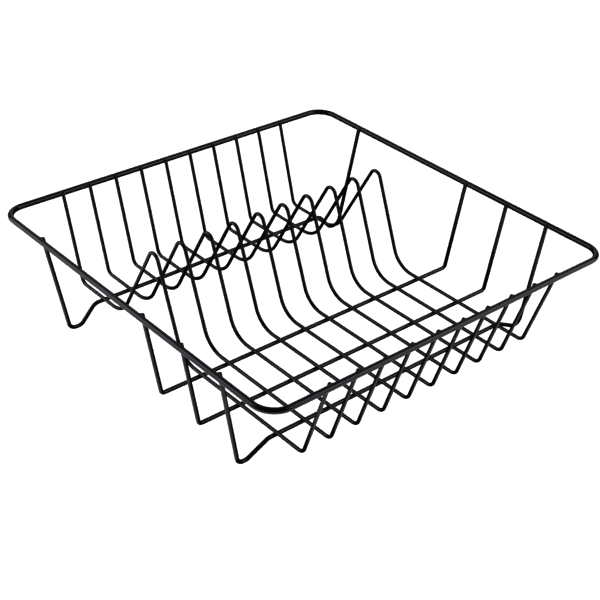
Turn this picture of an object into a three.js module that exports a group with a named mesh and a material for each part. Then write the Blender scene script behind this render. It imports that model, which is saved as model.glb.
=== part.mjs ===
// A one-tier dish drying rack in coated steel wire, in millimetres.
//
// A thick rim wire is bent into a rounded rectangle. Ten plate wires hang in it from back to front,
// each with a pointed loop that stands a plate up. Four cross wires run under them from side to
// side, and the outer two dip into a V near each end: those are the four feet. The back feet are
// deeper than the front ones, so the whole rack leans a little towards the front.
//
// +Z is up, +X points to the front and Y runs from side to side. The origin is on the surface that
// the rack stands on, under the middle of the rim. All dimensions are taken before the rack leans,
// when its rim and base are level.

import * as THREE from 'three';

// ---- Driving dimensions ----

// The rim, measured along its wire's centre line.
const RIM_WIDTH = 396;
const RIM_LENGTH = 400;
const RIM_HEIGHT = 109;
const RIM_CORNER_RADIUS = 20;

// Wire diameters.
const RIM_WIRE = 5.5;
const PLATE_WIRE = 3.4;
const CROSS_WIRE = 3.9;

// Space left between two wires that are welded to each other.
const WELD_GAP = 0.2;

// Plate wires: how many, their spacing, and the height of their level base.
const PLATE_WIRE_COUNT = 10;
const PLATE_WIRE_PITCH = 30.3;
const BASE_HEIGHT = 23;

// Plate wire profile from back to front: the X of each corner, before its bend rounds it off.
const BACK_WALL_X = -166.5;
const LOOP_BACK_X = -97.2;
const LOOP_APEX_X = -42.2;
const LOOP_FRONT_X = -0.6;
const FRONT_WALL_X = 167.3;
const LOOP_APEX_HEIGHT = 124;

// Plate wire bend radii, along the centre line.
const WALL_BEND_RADIUS = 7.5;
const LOOP_BACK_BEND_RADIUS = 29;
const LOOP_APEX_BEND_RADIUS = 7;
const LOOP_FRONT_BEND_RADIUS = 27.5;

// Cross wires: the X where each one runs.
const FOOT_WIRE_BACK_X = -133;
const BASE_WIRE_BACK_X = 25.3;
const BASE_WIRE_FRONT_X = 80;
const FOOT_WIRE_FRONT_X = 131;

// Base wire profile: the distance of its corner from the middle of the rack, and its bend radius.
const BASE_WIRE_CORNER_Y = 178.3;
const BASE_WIRE_BEND_RADIUS = 4;

// Foot profiles: the distance of each corner from the middle of the rack, the depth of the V below
// the level part of its wire, and the bend radii.
const BACK_FOOT = { kneeY: 145, innerY: 161, outerY: 173.5, depth: 18.2, kneeRadius: 11, radius: 8 };
const FRONT_FOOT = { kneeY: 143.5, innerY: 166.5, outerY: 176, depth: 11.4, kneeRadius: 11, radius: 7 };

// Section facets, and the largest turn from one station to the next round a bend.
const RIM_SIDES = 12;
const WIRE_SIDES = 8;
const BEND_STEP = THREE.MathUtils.degToRad(15);

// ---- Wire sections ----

// Corner radius of the regular polygon that has the same area as the round wire.
function sectionCornerRadius(diameter, sides) {
  const sideAngle = (2 * Math.PI) / sides;
  const areaRatio = (2 * Math.PI) / (sides * Math.sin(sideAngle));
  return (diameter / 2) * Math.sqrt(areaRatio);
}

// Distance from the centre line to the flats of that polygon.
function sectionFlatRadius(diameter, sides) {
  return sectionCornerRadius(diameter, sides) * Math.cos(Math.PI / sides);
}

// The polygon itself, with a flat towards each of its two axes, then turned about the wire.
function wireSection(diameter, sides, turn) {
  const radius = sectionCornerRadius(diameter, sides);
  const sideAngle = (2 * Math.PI) / sides;
  const corners = [];
  for (let side = 0; side < sides; side += 1) {
    const angle = (side + 0.5) * sideAngle + turn;
    corners.push(new THREE.Vector2(radius * Math.cos(angle), radius * Math.sin(angle)));
  }
  return new THREE.Shape(corners);
}

// ---- Wire centre lines ----

// A line of straight runs joined by round bends. It has a station at both ends of each run and at
// even steps round each bend, and equal steps of u go from one station to the next.
class BentLine extends THREE.Curve {
  constructor(corners, bendRadii) {
    super();
    const last = corners.length - 1;
    const startDirection = corners[1].clone().sub(corners[0]).normalize();
    const endDirection = corners[last].clone().sub(corners[last - 1]).normalize();
    this.stations = [{ point: corners[0], tangent: startDirection }];
    for (let i = 1; i < last; i += 1) {
      this.addBend(corners[i - 1], corners[i], corners[i + 1], bendRadii[i - 1]);
    }
    this.stations.push({ point: corners[last], tangent: endDirection });
  }

  addBend(before, corner, after, radius) {
    const incoming = corner.clone().sub(before).normalize();
    const outgoing = after.clone().sub(corner).normalize();
    const turn = incoming.angleTo(outgoing);
    const inward = outgoing.clone().projectOnPlane(incoming).normalize();
    const start = corner.clone().addScaledVector(incoming, -radius * Math.tan(turn / 2));
    const centre = start.clone().addScaledVector(inward, radius);
    const steps = Math.ceil(turn / BEND_STEP);
    for (let step = 0; step <= steps; step += 1) {
      const angle = (turn * step) / steps;
      const point = centre
        .clone()
        .addScaledVector(incoming, radius * Math.sin(angle))
        .addScaledVector(inward, -radius * Math.cos(angle));
      const tangent = incoming
        .clone()
        .multiplyScalar(Math.cos(angle))
        .addScaledVector(inward, Math.sin(angle));
      this.stations.push({ point, tangent });
    }
  }

  get steps() {
    return this.stations.length - 1;
  }

  stationAt(u) {
    return this.stations[Math.round(u * this.steps)];
  }

  getPointAt(u, target = new THREE.Vector3()) {
    return target.copy(this.stationAt(u).point);
  }

  getTangentAt(u, target = new THREE.Vector3()) {
    return target.copy(this.stationAt(u).tangent);
  }
}

// ---- Wires ----

function extrudeWire(line, diameter, sides, turn = 0) {
  return new THREE.ExtrudeGeometry(wireSection(diameter, sides, turn), {
    steps: line.steps,
    extrudePath: line,
  });
}

// A wire whose two ends meet: only the walls of the extrusion, without its two end faces.
function extrudeLoop(line, diameter, sides) {
  const extrusion = extrudeWire(line, diameter, sides);
  const walls = extrusion.groups.find((group) => group.materialIndex === 1);
  const positions = extrusion.getAttribute('position');
  const first = walls.start * positions.itemSize;
  const end = (walls.start + walls.count) * positions.itemSize;
  const loop = new THREE.BufferGeometry();
  const wallPositions = positions.array.slice(first, end);
  loop.setAttribute('position', new THREE.BufferAttribute(wallPositions, positions.itemSize));
  loop.computeVertexNormals();
  return loop;
}

function wireMesh(name, geometry) {
  const coating = new THREE.MeshStandardMaterial({
    color: 0x0a0a0c,
    roughness: 0.28,
    metalness: 0,
  });
  const mesh = new THREE.Mesh(geometry, coating);
  mesh.name = name;
  return mesh;
}

// The end of a wall wire that rises from a low corner and leans against the inside of the rim. It
// stops where the two wires touch. Corner and end are (distance from the middle, height).
function wireEndAtRim(lowCorner, rimDistance, wireDiameter) {
  const rimCentre = new THREE.Vector2(rimDistance, RIM_HEIGHT);
  const rimRadius = sectionCornerRadius(RIM_WIRE, RIM_SIDES);
  const wireRadius = sectionFlatRadius(wireDiameter, WIRE_SIDES);
  const spacing = rimRadius + WELD_GAP + wireRadius;
  const toRim = rimCentre.sub(lowCorner);
  const lean = Math.asin(spacing / toRim.length());
  const reach = toRim.length() * Math.cos(lean);
  const direction = toRim.angle() + lean;
  const rise = new THREE.Vector2(Math.cos(direction), Math.sin(direction)).multiplyScalar(reach);
  return rise.add(lowCorner);
}

// ---- Rim ----

function makeRim() {
  const halfWidth = RIM_WIDTH / 2;
  const halfLength = RIM_LENGTH / 2;
  const seam = new THREE.Vector3(-halfWidth, 0, RIM_HEIGHT);
  const corners = [
    seam,
    new THREE.Vector3(-halfWidth, -halfLength, RIM_HEIGHT),
    new THREE.Vector3(halfWidth, -halfLength, RIM_HEIGHT),
    new THREE.Vector3(halfWidth, halfLength, RIM_HEIGHT),
    new THREE.Vector3(-halfWidth, halfLength, RIM_HEIGHT),
    seam,
  ];
  const line = new BentLine(corners, Array(4).fill(RIM_CORNER_RADIUS));
  return wireMesh('rim_wire', extrudeLoop(line, RIM_WIRE, RIM_SIDES));
}

// ---- Plate wires ----

function makePlateWire(name, y) {
  const inPlane = (x, z) => new THREE.Vector3(x, 0, z);
  const halfWidth = RIM_WIDTH / 2;
  const backCorner = new THREE.Vector2(-BACK_WALL_X, BASE_HEIGHT);
  const frontCorner = new THREE.Vector2(FRONT_WALL_X, BASE_HEIGHT);
  const backEnd = wireEndAtRim(backCorner, halfWidth, PLATE_WIRE);
  const frontEnd = wireEndAtRim(frontCorner, halfWidth, PLATE_WIRE);
  const corners = [
    inPlane(-backEnd.x, backEnd.y),
    inPlane(BACK_WALL_X, BASE_HEIGHT),
    inPlane(LOOP_BACK_X, BASE_HEIGHT),
    inPlane(LOOP_APEX_X, LOOP_APEX_HEIGHT),
    inPlane(LOOP_FRONT_X, BASE_HEIGHT),
    inPlane(FRONT_WALL_X, BASE_HEIGHT),
    inPlane(frontEnd.x, frontEnd.y),
  ];
  const bendRadii = [
    WALL_BEND_RADIUS,
    LOOP_BACK_BEND_RADIUS,
    LOOP_APEX_BEND_RADIUS,
    LOOP_FRONT_BEND_RADIUS,
    WALL_BEND_RADIUS,
  ];
  const line = new BentLine(corners, bendRadii);
  const mesh = wireMesh(name, extrudeWire(line, PLATE_WIRE, WIRE_SIDES));
  mesh.position.y = y;
  return mesh;
}

function makePlateWires() {
  const group = new THREE.Group();
  for (let index = 0; index < PLATE_WIRE_COUNT; index += 1) {
    const number = String(index + 1).padStart(2, '0');
    const y = (index - (PLATE_WIRE_COUNT - 1) / 2) * PLATE_WIRE_PITCH;
    group.add(makePlateWire(`plate_wire_${number}`, y));
  }
  return group;
}

// ---- Cross wires ----

const CROSS_WIRE_FLAT = sectionFlatRadius(CROSS_WIRE, WIRE_SIDES);
const CROSS_HEIGHT =
  BASE_HEIGHT - sectionFlatRadius(PLATE_WIRE, WIRE_SIDES) - WELD_GAP - CROSS_WIRE_FLAT;

// How far the rack leans to the front when all four feet stand on the level.
const LEAN = Math.atan(
  (BACK_FOOT.depth - FRONT_FOOT.depth) / (FOOT_WIRE_FRONT_X - FOOT_WIRE_BACK_X),
);

// A cross wire is the same on both sides: its corners from the middle out are mirrored.
function makeCrossWire(name, x, sideCorners, sideBendRadii, turn = 0) {
  const end = wireEndAtRim(sideCorners.at(-1), RIM_LENGTH / 2, CROSS_WIRE);
  const rightSide = [...sideCorners, end].map((corner) => new THREE.Vector3(0, corner.x, corner.y));
  const leftSide = rightSide.map((corner) => new THREE.Vector3(0, -corner.y, corner.z)).reverse();
  const bendRadii = [...sideBendRadii.toReversed(), ...sideBendRadii];
  const line = new BentLine([...leftSide, ...rightSide], bendRadii);
  const mesh = wireMesh(name, extrudeWire(line, CROSS_WIRE, WIRE_SIDES, turn));
  mesh.position.x = x;
  return mesh;
}

function makeBaseWire(name, x) {
  const corners = [new THREE.Vector2(BASE_WIRE_CORNER_Y, CROSS_HEIGHT)];
  return makeCrossWire(name, x, corners, [BASE_WIRE_BEND_RADIUS]);
}

// The section is turned back by the lean, so that the feet stand on flats that are level.
function makeFootWire(name, x, foot) {
  const footHeight = CROSS_HEIGHT - foot.depth;
  const corners = [
    new THREE.Vector2(foot.kneeY, CROSS_HEIGHT),
    new THREE.Vector2(foot.innerY, footHeight),
    new THREE.Vector2(foot.outerY, footHeight),
  ];
  return makeCrossWire(name, x, corners, [foot.kneeRadius, foot.radius, foot.radius], -LEAN);
}

function makeCrossWires() {
  const group = new THREE.Group();
  group.add(makeBaseWire('base_wire_back', BASE_WIRE_BACK_X));
  group.add(makeBaseWire('base_wire_front', BASE_WIRE_FRONT_X));
  group.add(makeFootWire('foot_wire_back', FOOT_WIRE_BACK_X, BACK_FOOT));
  group.add(makeFootWire('foot_wire_front', FOOT_WIRE_FRONT_X, FRONT_FOOT));
  return group;
}

// ---- The rack ----

const rack = new THREE.Group();
rack.add(makeRim());
rack.add(makePlateWires());
rack.add(makeCrossWires());

// It leans to the front, with its rim centred over the origin and its back feet on the surface.
const rimCentre = new THREE.Vector3(0, 0, RIM_HEIGHT);
const backFoot = new THREE.Vector3(FOOT_WIRE_BACK_X, 0, CROSS_HEIGHT - BACK_FOOT.depth);
rack.rotation.y = LEAN;
rimCentre.applyEuler(rack.rotation);
backFoot.applyEuler(rack.rotation);
rack.position.set(-rimCentre.x, 0, CROSS_WIRE_FLAT - backFoot.z);

export default rack;
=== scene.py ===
"""A dish drying rack in black coated wire: smooth wires, weld fillets, coating and studio, in metres."""
import math

import bpy
from mathutils import Euler, Matrix, Vector, noise


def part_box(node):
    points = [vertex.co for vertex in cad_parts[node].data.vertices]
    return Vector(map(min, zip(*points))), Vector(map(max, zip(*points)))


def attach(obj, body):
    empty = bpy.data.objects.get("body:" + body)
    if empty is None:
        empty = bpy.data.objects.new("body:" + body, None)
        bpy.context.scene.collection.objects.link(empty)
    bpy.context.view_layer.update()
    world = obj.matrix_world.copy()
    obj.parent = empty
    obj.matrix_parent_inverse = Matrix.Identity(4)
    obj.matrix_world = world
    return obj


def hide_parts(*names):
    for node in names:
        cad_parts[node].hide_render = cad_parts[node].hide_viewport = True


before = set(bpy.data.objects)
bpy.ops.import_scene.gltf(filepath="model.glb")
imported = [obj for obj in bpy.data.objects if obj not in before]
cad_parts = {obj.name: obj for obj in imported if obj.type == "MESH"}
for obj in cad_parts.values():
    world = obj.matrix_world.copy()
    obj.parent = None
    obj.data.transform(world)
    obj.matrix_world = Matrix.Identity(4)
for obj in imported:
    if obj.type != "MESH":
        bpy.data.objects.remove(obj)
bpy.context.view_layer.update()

BODY = "root"
MM = 0.001

# ---- Sizes that the frame's boxes don't give ----

RIM_WIRE = 5.5 * MM
PLATE_WIRE = 3.4 * MM
CROSS_WIRE = 3.9 * MM
RIM_CORNER_RADIUS = 20 * MM

# Heights in the rack before it leans.
RIM_HEIGHT = 109 * MM
BASE_HEIGHT = 23 * MM

# Sections of the CAD wires: regular polygons with the area of the round wire. Where two of them
# are welded, they stand a gap apart.
RIM_CAD_SIDES = 12
WIRE_CAD_SIDES = 8
WELD_GAP = 0.2 * MM

# The upper end of a wall wire: how far its weld sinks it into the rim, how far its tip runs on
# past where the two touch, and the height of its rounded end as a share of the wire's radius.
RIM_SET_DOWN = 0.65 * MM
WIRE_TIP = 0.3 * MM
END_ROUNDING = 0.6

# Plate wire profile, back to front.
BACK_WALL_X = -166.5 * MM
LOOP_BACK_X = -97.2 * MM
LOOP_APEX_X = -42.2 * MM
LOOP_FRONT_X = -0.6 * MM
FRONT_WALL_X = 167.3 * MM
LOOP_APEX_HEIGHT = 124 * MM
WALL_BEND_RADIUS = 7.5 * MM
LOOP_BACK_BEND_RADIUS = 29 * MM
LOOP_APEX_BEND_RADIUS = 7 * MM
LOOP_FRONT_BEND_RADIUS = 27.5 * MM

# Base wires: X, the distance of the corner from the middle of the rack, and the bend radius.
BASE_WIRES = {"base_wire_back": 25.3 * MM, "base_wire_front": 80 * MM}
BASE_WIRE_CORNER_Y = 178.3 * MM
BASE_WIRE_BEND_RADIUS = 4 * MM

# Foot wires: X, then the V from its inner to its outer corner, its depth and its bend radii.
FOOT_WIRES = {
    "foot_wire_back": {
        "x": -133 * MM, "knee_y": 145 * MM, "inner_y": 161 * MM, "outer_y": 173.5 * MM,
        "depth": 18.2 * MM, "knee_radius": 11 * MM, "radius": 8 * MM,
    },
    "foot_wire_front": {
        "x": 131 * MM, "knee_y": 143.5 * MM, "inner_y": 166.5 * MM, "outer_y": 176 * MM,
        "depth": 11.4 * MM, "knee_radius": 11 * MM, "radius": 7 * MM,
    },
}

# Mesh fineness.
RIM_SIDES = 32
WIRE_SIDES = 24
BEND_STEP = math.radians(6)
RUN_STEP = 12 * MM
END_RINGS = 5
WELD_STEPS_ROUND = 28
WELD_STEPS_ACROSS = 7

# Weld fillets: how far the coating reaches out from where the wires meet, how far its edge sinks
# into them, and how deeply it is hollowed, as a share of the reach.
BASE_WELD_REACH = 1.7 * MM
RIM_WELD_REACH = 0.35 * MM
WELD_SINK = 0.03 * MM
WELD_HOLLOW = 0.45

# How much the reach varies from weld to weld, as a share, and the scale of that noise per metre.
WELD_VARIATION = 0.25
WELD_VARIATION_SCALE = 60

AXIS_X = Vector((1, 0, 0))
AXIS_Y = Vector((0, 1, 0))
AXIS_Z = Vector((0, 0, 1))


# ---- Places from the frame ----

def cad_corner_radius(diameter, sides):
    """Corner radius of the regular polygon that has the area of the round wire."""
    side_angle = 2 * math.pi / sides
    return diameter / 2 * math.sqrt(2 * math.pi / (sides * math.sin(side_angle)))


def cad_flat_radius(diameter, sides):
    """Distance from the middle of that polygon to its sides."""
    return cad_corner_radius(diameter, sides) * math.cos(math.pi / sides)


RIM_FLAT = cad_flat_radius(RIM_WIRE, RIM_CAD_SIDES)
PLATE_FLAT = cad_flat_radius(PLATE_WIRE, WIRE_CAD_SIDES)
CROSS_FLAT = cad_flat_radius(CROSS_WIRE, WIRE_CAD_SIDES)
CROSS_HEIGHT = BASE_HEIGHT - PLATE_FLAT - WELD_GAP - CROSS_FLAT

# The back feet are deeper than the front ones, so the rack leans to the front.
BACK_FOOT, FRONT_FOOT = FOOT_WIRES["foot_wire_back"], FOOT_WIRES["foot_wire_front"]
LEAN = math.atan((BACK_FOOT["depth"] - FRONT_FOOT["depth"]) / (FRONT_FOOT["x"] - BACK_FOOT["x"]))

RIM_LOW, RIM_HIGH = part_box("rim_wire")
RIM_MIDDLE = (RIM_LOW + RIM_HIGH) / 2
RIM_HALF_WIDTH = (RIM_HIGH.x - RIM_FLAT) / math.cos(LEAN)
RIM_HALF_LENGTH = RIM_HIGH.y - RIM_FLAT

# From the rack before it leans to the rack where it stands.
RACK = (
    Matrix.Translation(RIM_MIDDLE)
    @ Matrix.Rotation(LEAN, 4, "Y")
    @ Matrix.Translation((0, 0, -RIM_HEIGHT))
)

PLATE_NODES = sorted(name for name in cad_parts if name.startswith("plate_wire"))
PLATE_PLACES = {name: (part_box(name)[0].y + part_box(name)[1].y) / 2 for name in PLATE_NODES}
CROSS_PLACES = {**BASE_WIRES, **{name: foot["x"] for name, foot in FOOT_WIRES.items()}}


# ---- Centre lines ----

def run_stations(start, end):
    """Stations along a straight run, both ends included."""
    direction = (end - start).normalized()
    steps = max(1, math.ceil((end - start).length / RUN_STEP))
    return [(start.lerp(end, step / steps), direction) for step in range(steps + 1)]


def bend_stations(before, corner, after, radius):
    """Stations round the bend that rounds off a corner, both ends included."""
    incoming = (corner - before).normalized()
    outgoing = (after - corner).normalized()
    turn = incoming.angle(outgoing)
    inward = (outgoing - incoming * outgoing.dot(incoming)).normalized()
    centre = corner - incoming * radius * math.tan(turn / 2) + inward * radius
    steps = math.ceil(turn / BEND_STEP)
    stations = []
    for step in range(steps + 1):
        angle = turn * step / steps
        point = centre + (incoming * math.sin(angle) - inward * math.cos(angle)) * radius
        tangent = incoming * math.cos(angle) + inward * math.sin(angle)
        stations.append((point, tangent))
    return stations


def bent_line(corners, bend_radii):
    """A wire's centre line as (point, tangent) stations: straight runs joined by round bends."""
    line = []
    run_start = corners[0]
    for i, radius in enumerate(bend_radii):
        bend = bend_stations(corners[i], corners[i + 1], corners[i + 2], radius)
        line += run_stations(run_start, bend[0][0])[:-1] + bend[:-1]
        run_start = bend[-1][0]
    return line + run_stations(run_start, corners[-1])


def wall_wire_end(low_corner, rim_distance, wire_diameter):
    """Where a wall wire that leans on the inside of the rim ends, and where it touches the rim.

    Points are on the wire's centre line, as (distance from the middle, height). The rounded end
    starts at the first one."""
    spacing = RIM_WIRE / 2 + wire_diameter / 2 - RIM_SET_DOWN
    to_rim = Vector((rim_distance, RIM_HEIGHT)) - low_corner
    lean = math.asin(spacing / to_rim.length)
    direction = math.atan2(to_rim.y, to_rim.x) + lean
    rise = Vector((math.cos(direction), math.sin(direction)))
    reach = to_rim.length * math.cos(lean)
    rounded_end = END_ROUNDING * wire_diameter / 2
    return low_corner + rise * (reach + WIRE_TIP - rounded_end), low_corner + rise * reach


# ---- Meshes ----

def add_object(name, data):
    """A new object in the scene."""
    added = bpy.data.objects.new(name, data)
    bpy.context.scene.collection.objects.link(added)
    return added


def mesh_object(name, vertices, faces, material):
    """A smooth piece of the rack, from vertices in the rack before it leans."""
    mesh = bpy.data.meshes.new(name)
    mesh.from_pydata([RACK @ vertex for vertex in vertices], [], faces)
    mesh.validate()
    mesh.polygons.foreach_set("use_smooth", [True] * len(mesh.polygons))
    mesh.materials.append(material)
    piece = add_object(name, mesh)
    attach(piece, BODY)
    return piece


def ring(centre, tangent, side, radius, count):
    """A ring of points round a centre line that stays in the plane with normal side."""
    across = side.cross(tangent)
    points = []
    for step in range(count):
        angle = 2 * math.pi * step / count
        points.append(centre + (across * math.cos(angle) + side * math.sin(angle)) * radius)
    return points


def dome_rings(centre, outward, radius):
    """(centre, radius) of the rings of a cut wire's rounded end, from the pole to the wire."""
    rings = []
    for step in range(1, END_RINGS + 1):
        angle = math.pi / 2 * step / END_RINGS
        rise = outward * radius * END_ROUNDING * math.cos(angle)
        rings.append((centre + rise, radius * math.sqrt(math.sin(angle))))
    return rings


def wire_piece(node, line, side, diameter, sides, material, closed=False):
    """A round wire along a centre line, which replaces its CAD node."""
    radius = diameter / 2
    rings = []
    if closed:
        rings = [ring(point, tangent, side, radius, sides) for point, tangent in line[:-1]]
    else:
        (start, start_tangent), (end, end_tangent) = line[0], line[-1]
        start_dome = dome_rings(start, -start_tangent, radius)
        end_dome = dome_rings(end, end_tangent, radius)
        rings += [ring(centre, start_tangent, side, r, sides) for centre, r in start_dome]
        rings += [ring(point, tangent, side, radius, sides) for point, tangent in line[1:-1]]
        rings += [ring(centre, end_tangent, side, r, sides) for centre, r in reversed(end_dome)]
    vertices = [point for points in rings for point in points]
    faces = []
    for i in range(len(rings) if closed else len(rings) - 1):
        first, second = i * sides, (i + 1) % len(rings) * sides
        for j in range(sides):
            k = (j + 1) % sides
            faces.append((first + j, first + k, second + k, second + j))
    if not closed:
        pole_rise = radius * END_ROUNDING
        vertices += [start - start_tangent * pole_rise, end + end_tangent * pole_rise]
        start_pole, end_pole = len(vertices) - 2, len(vertices) - 1
        last = (len(rings) - 1) * sides
        for j in range(sides):
            k = (j + 1) % sides
            faces.append((start_pole, k, j))
            faces.append((end_pole, last + j, last + k))
    piece = mesh_object(node + "_coated", vertices, faces, material)
    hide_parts(node)
    return piece


def meeting_arc(radius, gap):
    """Arc on a wire of this radius from the weld's middle to where two sunk wires meet."""
    return radius * math.acos(min(1, 1 + gap / radius))


def weld_mesh(touch, normal, upper_axis, upper_radius, lower_radius, reach, gap):
    """A fillet between two crossed wires: the wires' coating drawn into the gap round their contact.

    normal points from the lower wire to the upper one. Returns vertices and faces of a closed body."""
    lower_axis = normal.cross(upper_axis)
    reach_along = reach + meeting_arc(lower_radius, gap)
    reach_across = reach + meeting_arc(upper_radius, gap)
    sunk_upper, sunk_lower = upper_radius - WELD_SINK, lower_radius - WELD_SINK
    pull = reach * WELD_HOLLOW
    rows = []
    for i in range(WELD_STEPS_ROUND):
        angle = 2 * math.pi * i / WELD_STEPS_ROUND
        along, across = reach_along * math.cos(angle), reach_across * math.sin(angle)
        wrap_upper, wrap_lower = across / upper_radius, along / lower_radius
        upper = (touch + upper_axis * along + lower_axis * sunk_upper * math.sin(wrap_upper)
                 + normal * (gap / 2 + upper_radius - sunk_upper * math.cos(wrap_upper)))
        lower = (touch + lower_axis * across + upper_axis * sunk_lower * math.sin(wrap_lower)
                 - normal * (gap / 2 + lower_radius - sunk_lower * math.cos(wrap_lower)))
        upper_in = -(upper_axis * math.cos(angle)
                     + lower_axis * math.sin(angle) * math.cos(wrap_upper)
                     + normal * math.sin(angle) * math.sin(wrap_upper))
        lower_in = -(upper_axis * math.cos(angle) * math.cos(wrap_lower)
                     + lower_axis * math.sin(angle)
                     - normal * math.cos(angle) * math.sin(wrap_lower))
        rows.append([
            cubic(upper, upper + upper_in * pull, lower + lower_in * pull, lower, j / WELD_STEPS_ACROSS)
            for j in range(WELD_STEPS_ACROSS + 1)
        ])
    width = WELD_STEPS_ACROSS + 1
    vertices = [point for row in rows for point in row]
    vertices.append(touch + normal * upper_radius)
    vertices.append(touch - normal * lower_radius)
    upper_cap, lower_cap = len(vertices) - 2, len(vertices) - 1
    faces = []
    for i in range(WELD_STEPS_ROUND):
        here, there = i * width, (i + 1) % WELD_STEPS_ROUND * width
        for j in range(WELD_STEPS_ACROSS):
            faces.append((here + j, here + j + 1, there + j + 1, there + j))
        faces.append((upper_cap, here, there))
        faces.append((lower_cap, there + WELD_STEPS_ACROSS, here + WELD_STEPS_ACROSS))
    return vertices, faces


def cubic(a, b, c, d, t):
    """A point on the cubic Bezier curve with these four control points."""
    s = 1 - t
    return a * s ** 3 + b * (3 * s * s * t) + c * (3 * s * t * t) + d * t ** 3


def weld_piece(name, welds, material):
    """One object for many weld fillets. Each weld is weld_mesh's arguments."""
    vertices, faces = [], []
    for weld in welds:
        first = len(vertices)
        more_vertices, more_faces = weld_mesh(*weld)
        vertices += more_vertices
        faces += [tuple(first + index for index in face) for face in more_faces]
    return mesh_object(name, vertices, faces, material)


def varied(reach, place):
    """The reach of one weld: no two welds draw in the same amount of coating."""
    return reach * (1 + WELD_VARIATION * noise.noise(place * WELD_VARIATION_SCALE))


# ---- Coating ----

COATING_IOR = 1.5

# Noise that varies the coating: scale per metre, detail and roughness of the noise.
TONE_NOISE = (90, 4, 0.6)
GLOSS_NOISE = (160, 5, 0.65)
PEEL_NOISE = (850, 2, 0.5)

# The tone runs between two colours, and the roughness between two values, over a range of noise.
TONE_NOISE_RANGE = (0.35, 0.7)
DARK_TONE = (0.006, 0.006, 0.0075)
LIGHT_TONE = (0.012, 0.012, 0.014)
GLOSS_NOISE_RANGE = (0.3, 0.75)
ROUGHNESS_RANGE = (0.2, 0.32)

# Orange peel.
PEEL_STRENGTH = 0.35
PEEL_HEIGHT = 0.03 * MM


def coating_material():
    """Smooth black polymer coating: faint orange peel, and slightly uneven tone and gloss."""
    material = bpy.data.materials.new("black_coating")
    material.use_nodes = True
    nodes, links = material.node_tree.nodes, material.node_tree.links
    shader = nodes["Principled BSDF"]
    place = nodes.new("ShaderNodeTexCoord").outputs["Object"]

    def noise_texture(scale, detail, roughness):
        texture = nodes.new("ShaderNodeTexNoise")
        texture.inputs["Scale"].default_value = scale
        texture.inputs["Detail"].default_value = detail
        texture.inputs["Roughness"].default_value = roughness
        links.new(place, texture.inputs["Vector"])
        return texture.outputs["Fac"]

    tone = nodes.new("ShaderNodeValToRGB")
    ends = zip(tone.color_ramp.elements, TONE_NOISE_RANGE, (DARK_TONE, LIGHT_TONE))
    for element, position, colour in ends:
        element.position = position
        element.color = (*colour, 1)
    links.new(noise_texture(*TONE_NOISE), tone.inputs["Fac"])
    links.new(tone.outputs["Color"], shader.inputs["Base Color"])

    gloss = nodes.new("ShaderNodeMapRange")
    gloss.inputs["From Min"].default_value = GLOSS_NOISE_RANGE[0]
    gloss.inputs["From Max"].default_value = GLOSS_NOISE_RANGE[1]
    gloss.inputs["To Min"].default_value = ROUGHNESS_RANGE[0]
    gloss.inputs["To Max"].default_value = ROUGHNESS_RANGE[1]
    links.new(noise_texture(*GLOSS_NOISE), gloss.inputs["Value"])
    links.new(gloss.outputs["Result"], shader.inputs["Roughness"])

    peel = nodes.new("ShaderNodeBump")
    peel.inputs["Strength"].default_value = PEEL_STRENGTH
    peel.inputs["Distance"].default_value = PEEL_HEIGHT
    links.new(noise_texture(*PEEL_NOISE), peel.inputs["Height"])
    links.new(peel.outputs["Normal"], shader.inputs["Normal"])

    shader.inputs["IOR"].default_value = COATING_IOR
    return material


# ---- The rack ----

def make_rim(material):
    """The rim, closed at a seam in the middle of its back."""
    width, length, height = RIM_HALF_WIDTH, RIM_HALF_LENGTH, RIM_HEIGHT
    seam = Vector((-width, 0, height))
    corners = [
        seam,
        Vector((-width, -length, height)),
        Vector((width, -length, height)),
        Vector((width, length, height)),
        Vector((-width, length, height)),
        seam,
    ]
    line = bent_line(corners, [RIM_CORNER_RADIUS] * (len(corners) - 2))
    wire_piece("rim_wire", line, AXIS_Z, RIM_WIRE, RIM_SIDES, material, closed=True)


def rim_weld(touch_line, tangent, outward, wire_diameter):
    """Arguments of the fillet where a wall wire's centre line point touches the rim."""
    normal = (tangent.cross(outward)).cross(tangent).normalized()
    centre = touch_line + normal * (wire_diameter / 2 - RIM_SET_DOWN / 2)
    reach = varied(RIM_WELD_REACH, centre)
    return centre, -normal, tangent, wire_diameter / 2, RIM_WIRE / 2, reach, -RIM_SET_DOWN


def make_plate_wire(node, material):
    """One plate wire, and the arguments of its two welds to the rim."""
    y = PLATE_PLACES[node]
    back_end, back_touch = wall_wire_end(
        Vector((-BACK_WALL_X, BASE_HEIGHT)), RIM_HALF_WIDTH, PLATE_WIRE)
    front_end, front_touch = wall_wire_end(
        Vector((FRONT_WALL_X, BASE_HEIGHT)), RIM_HALF_WIDTH, PLATE_WIRE)
    profile = [
        (-back_end.x, back_end.y),
        (BACK_WALL_X, BASE_HEIGHT),
        (LOOP_BACK_X, BASE_HEIGHT),
        (LOOP_APEX_X, LOOP_APEX_HEIGHT),
        (LOOP_FRONT_X, BASE_HEIGHT),
        (FRONT_WALL_X, BASE_HEIGHT),
        (front_end.x, front_end.y),
    ]
    radii = [
        WALL_BEND_RADIUS,
        LOOP_BACK_BEND_RADIUS,
        LOOP_APEX_BEND_RADIUS,
        LOOP_FRONT_BEND_RADIUS,
        WALL_BEND_RADIUS,
    ]
    line = bent_line([Vector((x, y, z)) for x, z in profile], radii)
    wire_piece(node, line, AXIS_Y, PLATE_WIRE, WIRE_SIDES, material)
    back = Vector((-back_touch.x, y, back_touch.y))
    front = Vector((front_touch.x, y, front_touch.y))
    return [
        rim_weld(back, -line[0][1], -AXIS_X, PLATE_WIRE),
        rim_weld(front, line[-1][1], AXIS_X, PLATE_WIRE),
    ]


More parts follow.
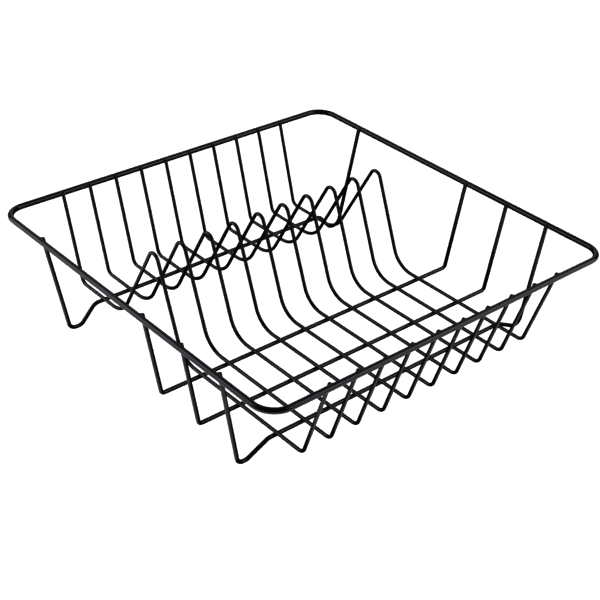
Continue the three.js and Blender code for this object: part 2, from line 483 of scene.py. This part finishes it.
def make_cross_wire(node, side_corners, side_radii, material):
    """One cross wire, and the arguments of its two welds to the rim."""
    x = CROSS_PLACES[node]
    end, touch = wall_wire_end(Vector(side_corners[-1]), RIM_HALF_LENGTH, CROSS_WIRE)
    right = [Vector((x, y, z)) for y, z in [*side_corners, end]]
    left = [Vector((x, -point.y, point.z)) for point in reversed(right)]
    line = bent_line(left + right, [*reversed(side_radii), *side_radii])
    wire_piece(node, line, AXIS_X, CROSS_WIRE, WIRE_SIDES, material)
    left_touch, right_touch = Vector((x, -touch.x, touch.y)), Vector((x, touch.x, touch.y))
    return [
        rim_weld(left_touch, -line[0][1], -AXIS_Y, CROSS_WIRE),
        rim_weld(right_touch, line[-1][1], AXIS_Y, CROSS_WIRE),
    ]


def base_welds():
    """Arguments of the fillet at each crossing of a plate wire and a cross wire."""
    gap = BASE_HEIGHT - CROSS_HEIGHT - PLATE_WIRE / 2 - CROSS_WIRE / 2
    height = CROSS_HEIGHT + CROSS_WIRE / 2 + gap / 2
    welds = []
    for y in PLATE_PLACES.values():
        for x in CROSS_PLACES.values():
            touch = Vector((x, y, height))
            reach = varied(BASE_WELD_REACH, touch)
            welds.append((touch, AXIS_Z, AXIS_X, PLATE_WIRE / 2, CROSS_WIRE / 2, reach, gap))
    return welds


def make_rack():
    """All the wires, and the fillets at their welds."""
    material = coating_material()
    make_rim(material)
    rim_welds = []
    for node in PLATE_NODES:
        rim_welds += make_plate_wire(node, material)
    base_corners = [(BASE_WIRE_CORNER_Y, CROSS_HEIGHT)]
    for node in BASE_WIRES:
        rim_welds += make_cross_wire(node, base_corners, [BASE_WIRE_BEND_RADIUS], material)
    for node, foot in FOOT_WIRES.items():
        foot_height = CROSS_HEIGHT - foot["depth"]
        corners = [
            (foot["knee_y"], CROSS_HEIGHT),
            (foot["inner_y"], foot_height),
            (foot["outer_y"], foot_height),
        ]
        radii = [foot["knee_radius"], foot["radius"], foot["radius"]]
        rim_welds += make_cross_wire(node, corners, radii, material)
    weld_piece("rim_welds", rim_welds, material)
    weld_piece("base_welds", base_welds(), material)


# ---- Studio ----

WHITE = (1, 1, 1, 1)
COOL_WHITE = (0.92, 0.93, 1)

FLOOR_SIZE = 60
FLOOR_ALBEDO = 0.9
FLOOR_ROUGHNESS = 0.9
FLOOR_RADIANCE = 1.1

# What the surroundings light the rack with. They look plain white behind it.
SURROUNDINGS_STRENGTH = 0.03

# Gamma of the finished picture. Below 1 it darkens the middle tones.
VIEW_GAMMA = 0.6

# Glowing cards that show as reflections: three round the rack, and two that lie face up just above
# the floor. Sizes and places are in metres, powers in watts.
RACK_MIDDLE = (0, 0, RIM_HEIGHT / 2)
CARDS = {
    "right_card": {
        "place": (0.90, 0.76, 0.65), "target": RACK_MIDDLE, "width": 1.0, "height": 1.3, "power": 15.5,
    },
    "left_card": {
        "place": (-0.85, -0.90, 0.65), "target": RACK_MIDDLE, "width": 1.0, "height": 1.3, "power": 15.5,
    },
    "back_card": {
        "place": (-1.3, 1.25, 1.0), "target": RACK_MIDDLE, "width": 2.4, "height": 1.2, "power": 11,
    },
    "front_floor_card": {
        "place": (0.6, 0, 0.004), "target": (0.6, 0, 1), "width": 0.84, "height": 1.8, "power": 8.4,
    },
    "left_floor_card": {
        "place": (-0.35, -0.6, 0.004), "target": (-0.35, -0.6, 1), "width": 1.1, "height": 0.84,
        "power": 5.2,
    },
}


def make_floor():
    """A wide pale floor. The coating doesn't reflect it."""
    mesh = bpy.data.meshes.new("floor")
    half = FLOOR_SIZE / 2
    corners = [(-half, -half, 0), (half, -half, 0), (half, half, 0), (-half, half, 0)]
    mesh.from_pydata(corners, [], [(0, 1, 2, 3)])
    floor = add_object("floor", mesh)
    material = bpy.data.materials.new("pale_floor")
    material.use_nodes = True
    shader = material.node_tree.nodes["Principled BSDF"]
    shader.inputs["Base Color"].default_value = (FLOOR_ALBEDO, FLOOR_ALBEDO, FLOOR_ALBEDO, 1)
    shader.inputs["Roughness"].default_value = FLOOR_ROUGHNESS
    shader.inputs["Specular IOR Level"].default_value = 0
    mesh.materials.append(material)
    floor.visible_glossy = False


def reflected_card(name, place, target, width, height, power):
    """A glowing card that faces target and shows only as a reflection in the coating."""
    data = bpy.data.lights.new(name, "AREA")
    data.shape = "RECTANGLE"
    data.size, data.size_y = width, height
    data.energy = power
    data.color = COOL_WHITE
    light = add_object(name, data)
    light.location = place
    light.rotation_mode = "QUATERNION"
    light.rotation_quaternion = (Vector(target) - Vector(place)).to_track_quat("-Z", "Y")
    light.visible_camera = False
    light.visible_diffuse = False


def make_floor_light():
    """Even light from straight above, which keeps the whole floor just white. It casts no shadow."""
    data = bpy.data.lights.new("floor_light", "SUN")
    data.energy = FLOOR_RADIANCE * math.pi / FLOOR_ALBEDO
    data.use_shadow = False
    light = add_object("floor_light", data)
    light.visible_glossy = False


def make_lights():
    """The light on the floor, and the cards that the coating reflects."""
    make_floor_light()
    for name, card in CARDS.items():
        reflected_card(name, **card)


def make_world():
    """Plain white to the camera, and dim to everything else."""
    world = bpy.data.worlds.new("studio")
    world.use_nodes = True
    nodes, links = world.node_tree.nodes, world.node_tree.links
    backdrop = nodes["Background"]
    backdrop.inputs["Color"].default_value = WHITE
    surroundings = nodes.new("ShaderNodeBackground")
    surroundings.inputs["Color"].default_value = WHITE
    surroundings.inputs["Strength"].default_value = SURROUNDINGS_STRENGTH
    mix = nodes.new("ShaderNodeMixShader")
    links.new(nodes.new("ShaderNodeLightPath").outputs["Is Camera Ray"], mix.inputs["Fac"])
    links.new(surroundings.outputs["Background"], mix.inputs[1])
    links.new(backdrop.outputs["Background"], mix.inputs[2])
    links.new(mix.outputs["Shader"], nodes["World Output"].inputs["Surface"])
    bpy.context.scene.world = world


# ---- Camera, placed from the middle of the rim in the rack before it leans ----

CAMERA_FROM_RIM = Vector((0.788, -0.7043, 0.602))
CAMERA_AZIMUTH = math.radians(48.1)
CAMERA_ELEVATION = math.radians(32.6)
CAMERA_ROLL = math.radians(2.61)
CAMERA_LENS = 78.2


def make_camera():
    """A camera that looks down at the rack over its front left corner."""
    data = bpy.data.cameras.new("camera")
    data.lens = CAMERA_LENS
    camera = add_object("camera", data)
    tilt = Euler((math.pi / 2 - CAMERA_ELEVATION, 0, CAMERA_AZIMUTH)).to_matrix()
    roll = Matrix.Rotation(CAMERA_ROLL, 3, "Z")
    place = Matrix.Translation(Vector((0, 0, RIM_HEIGHT)) + CAMERA_FROM_RIM)
    camera.matrix_world = RACK @ place @ (tilt @ roll).to_4x4()
    bpy.context.scene.camera = camera


make_rack()
make_floor()
make_lights()
make_world()
make_camera()
bpy.context.scene.view_settings.view_transform = "Standard"
bpy.context.scene.view_settings.gamma = VIEW_GAMMA
